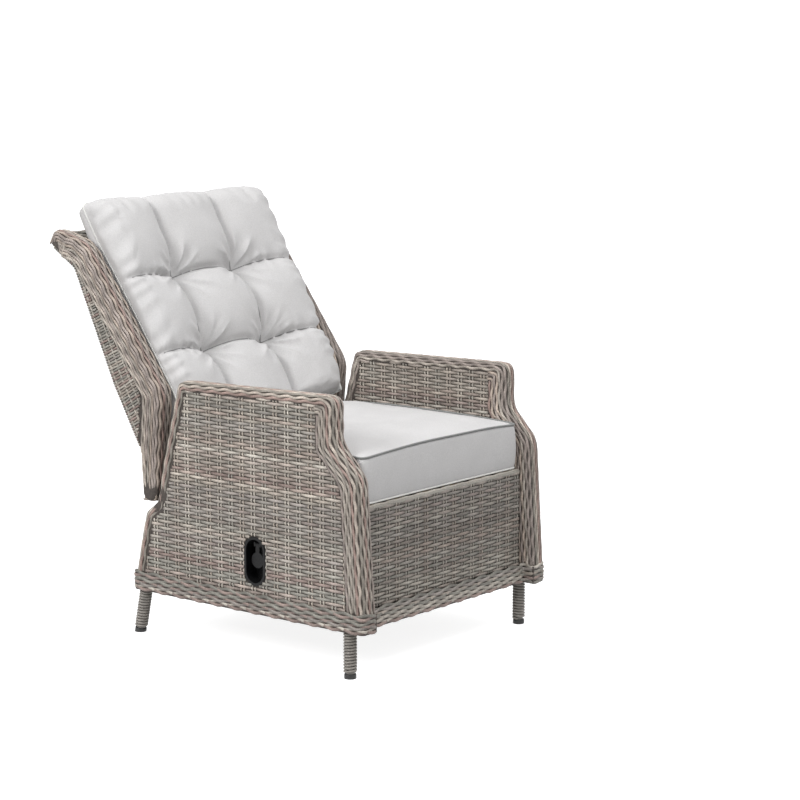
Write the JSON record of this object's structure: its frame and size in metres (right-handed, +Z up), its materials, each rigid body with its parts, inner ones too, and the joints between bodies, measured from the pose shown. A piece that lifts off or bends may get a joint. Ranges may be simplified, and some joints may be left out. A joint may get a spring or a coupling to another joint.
{
  "type": "reclining wicker garden armchair",
  "caption": "Woven high-backed garden armchair whose back reclines on a gas strut released by a side handle, with a boxed seat cushion and a tufted back cushion.",
  "frame": {"origin": "on the floor, at the middle of the chair's overall width and depth with the back at rest", "axes": "+Z up, the chair faces -Y, +X is the sitter's left"},
  "size_m": [0.674, 0.9664, 1.007],
  "materials": {
    "wicker": "flat and half-round resin strands in mixed greige",
    "cushion_fabric": "plain woven outdoor fabric",
    "frame_paint": "powder-coated tube",
    "slat_wood": "bent plywood slats",
    "black_cap": "moulded end caps",
    "black_gloss": "glossy moulded handle",
    "zinc_steel": "zinc-plated",
    "rod_chrome": "hard chrome",
    "black_metal": "black strut tube",
    "bush_plastic": "nylon bush",
    "cable_sheath": "plastic sheath"
  },
  "bodies": {
    "base": {"arm_top_rims": "wicker", "arm_tubes": "frame_paint", "base_tubes": "frame_paint", "cable_ferrules": "zinc_steel", "control_cable": "cable_sheath", "front_apron": "wicker", "front_posts": "frame_paint", "front_rims": "wicker", "front_weave": "wicker", "handle_cup": "black_gloss", "handle_pin": "zinc_steel", "heel_rims": "wicker", "hinge_bolts": "zinc_steel", "hinge_nuts": "zinc_steel", "hinge_plates": "frame_paint", "left_apron": "wicker", "left_inner_weave": "wicker", "left_outer_weave": "wicker", "leg_glides": "black_cap", "leg_windings": "wicker", "lower_rails": "frame_paint", "mid_posts": "frame_paint", "rear_apron": "wicker", "rear_legs": "frame_paint", "rear_posts": "frame_paint", "rear_rims": "wicker", "rear_top_bar": "frame_paint", "rear_weave": "wicker", "right_apron": "wicker", "right_inner_weave": "wicker", "right_outer_weave": "wicker", "seat_cushion": "cushion_fabric", "seat_rails": "frame_paint", "seat_slats": "slat_wood", "strut_bracket": "frame_paint", "strut_cross_tube": "frame_paint", "strut_pin": "zinc_steel"},
    "backrest": {"left_wing_rim": "wicker", "right_wing_rim": "wicker", "left_wing_weave": "wicker", "right_wing_weave": "wicker", "left_back_stile": "frame_paint", "right_back_stile": "frame_paint", "back_cross_tubes": "frame_paint", "hinge_bushes": "bush_plastic", "crank_plates": "frame_paint", "crank_pin": "zinc_steel", "back_weave": "wicker", "top_rim": "wicker", "bottom_rim": "wicker", "back_cushion": "cushion_fabric"},
    "strut_rod": {"gas_rod": "rod_chrome", "release_head": "zinc_steel"},
    "strut_cylinder": {"gas_cylinder": "black_metal"},
    "valve_lever": {"release_lever": "zinc_steel"},
    "handle_lever": {"handle_paddle": "black_gloss"}
  },
  "joints": [
    {"name": "back_recline", "type": "hinge", "parent": "base", "child": "backrest", "pos_m": [0, 0.1698, 0.345], "axis": [-1, 0, 0], "range_deg": [-9, 23]},
    {"name": "strut_swing", "type": "hinge", "parent": "base", "child": "strut_rod", "pos_m": [0, -0.2132, 0.238], "axis": [1, 0, 0], "range_deg": [-1.4, 3.45]},
    {"name": "cylinder_slide", "type": "slide", "parent": "strut_rod", "child": "strut_cylinder", "axis": [0, 0.9993, 0.0373], "range_m": [-0.0345, 0.0137]},
    {"name": "handle_pull", "type": "hinge", "parent": "base", "child": "handle_lever", "pos_m": [-0.32, -0.1632, 0.266], "axis": [0, 1, 0], "range_deg": [0, 25], "stiffness_Nm_per_rad": 0.3},
    {"name": "valve_press", "type": "hinge", "parent": "strut_rod", "child": "valve_lever", "pos_m": [0, -0.23193, 0.2318], "axis": [-1, 0, 0], "range_deg": [0, 8.1]}
  ],
  "couplings": [
    {"joint": "strut_swing", "follows": "back_recline", "ratio": 0.1457},
    {"joint": "cylinder_slide", "follows": "back_recline", "m_per_rad": -0.08485},
    {"joint": "valve_press", "follows": "handle_pull", "ratio": 0.32}
  ]
}
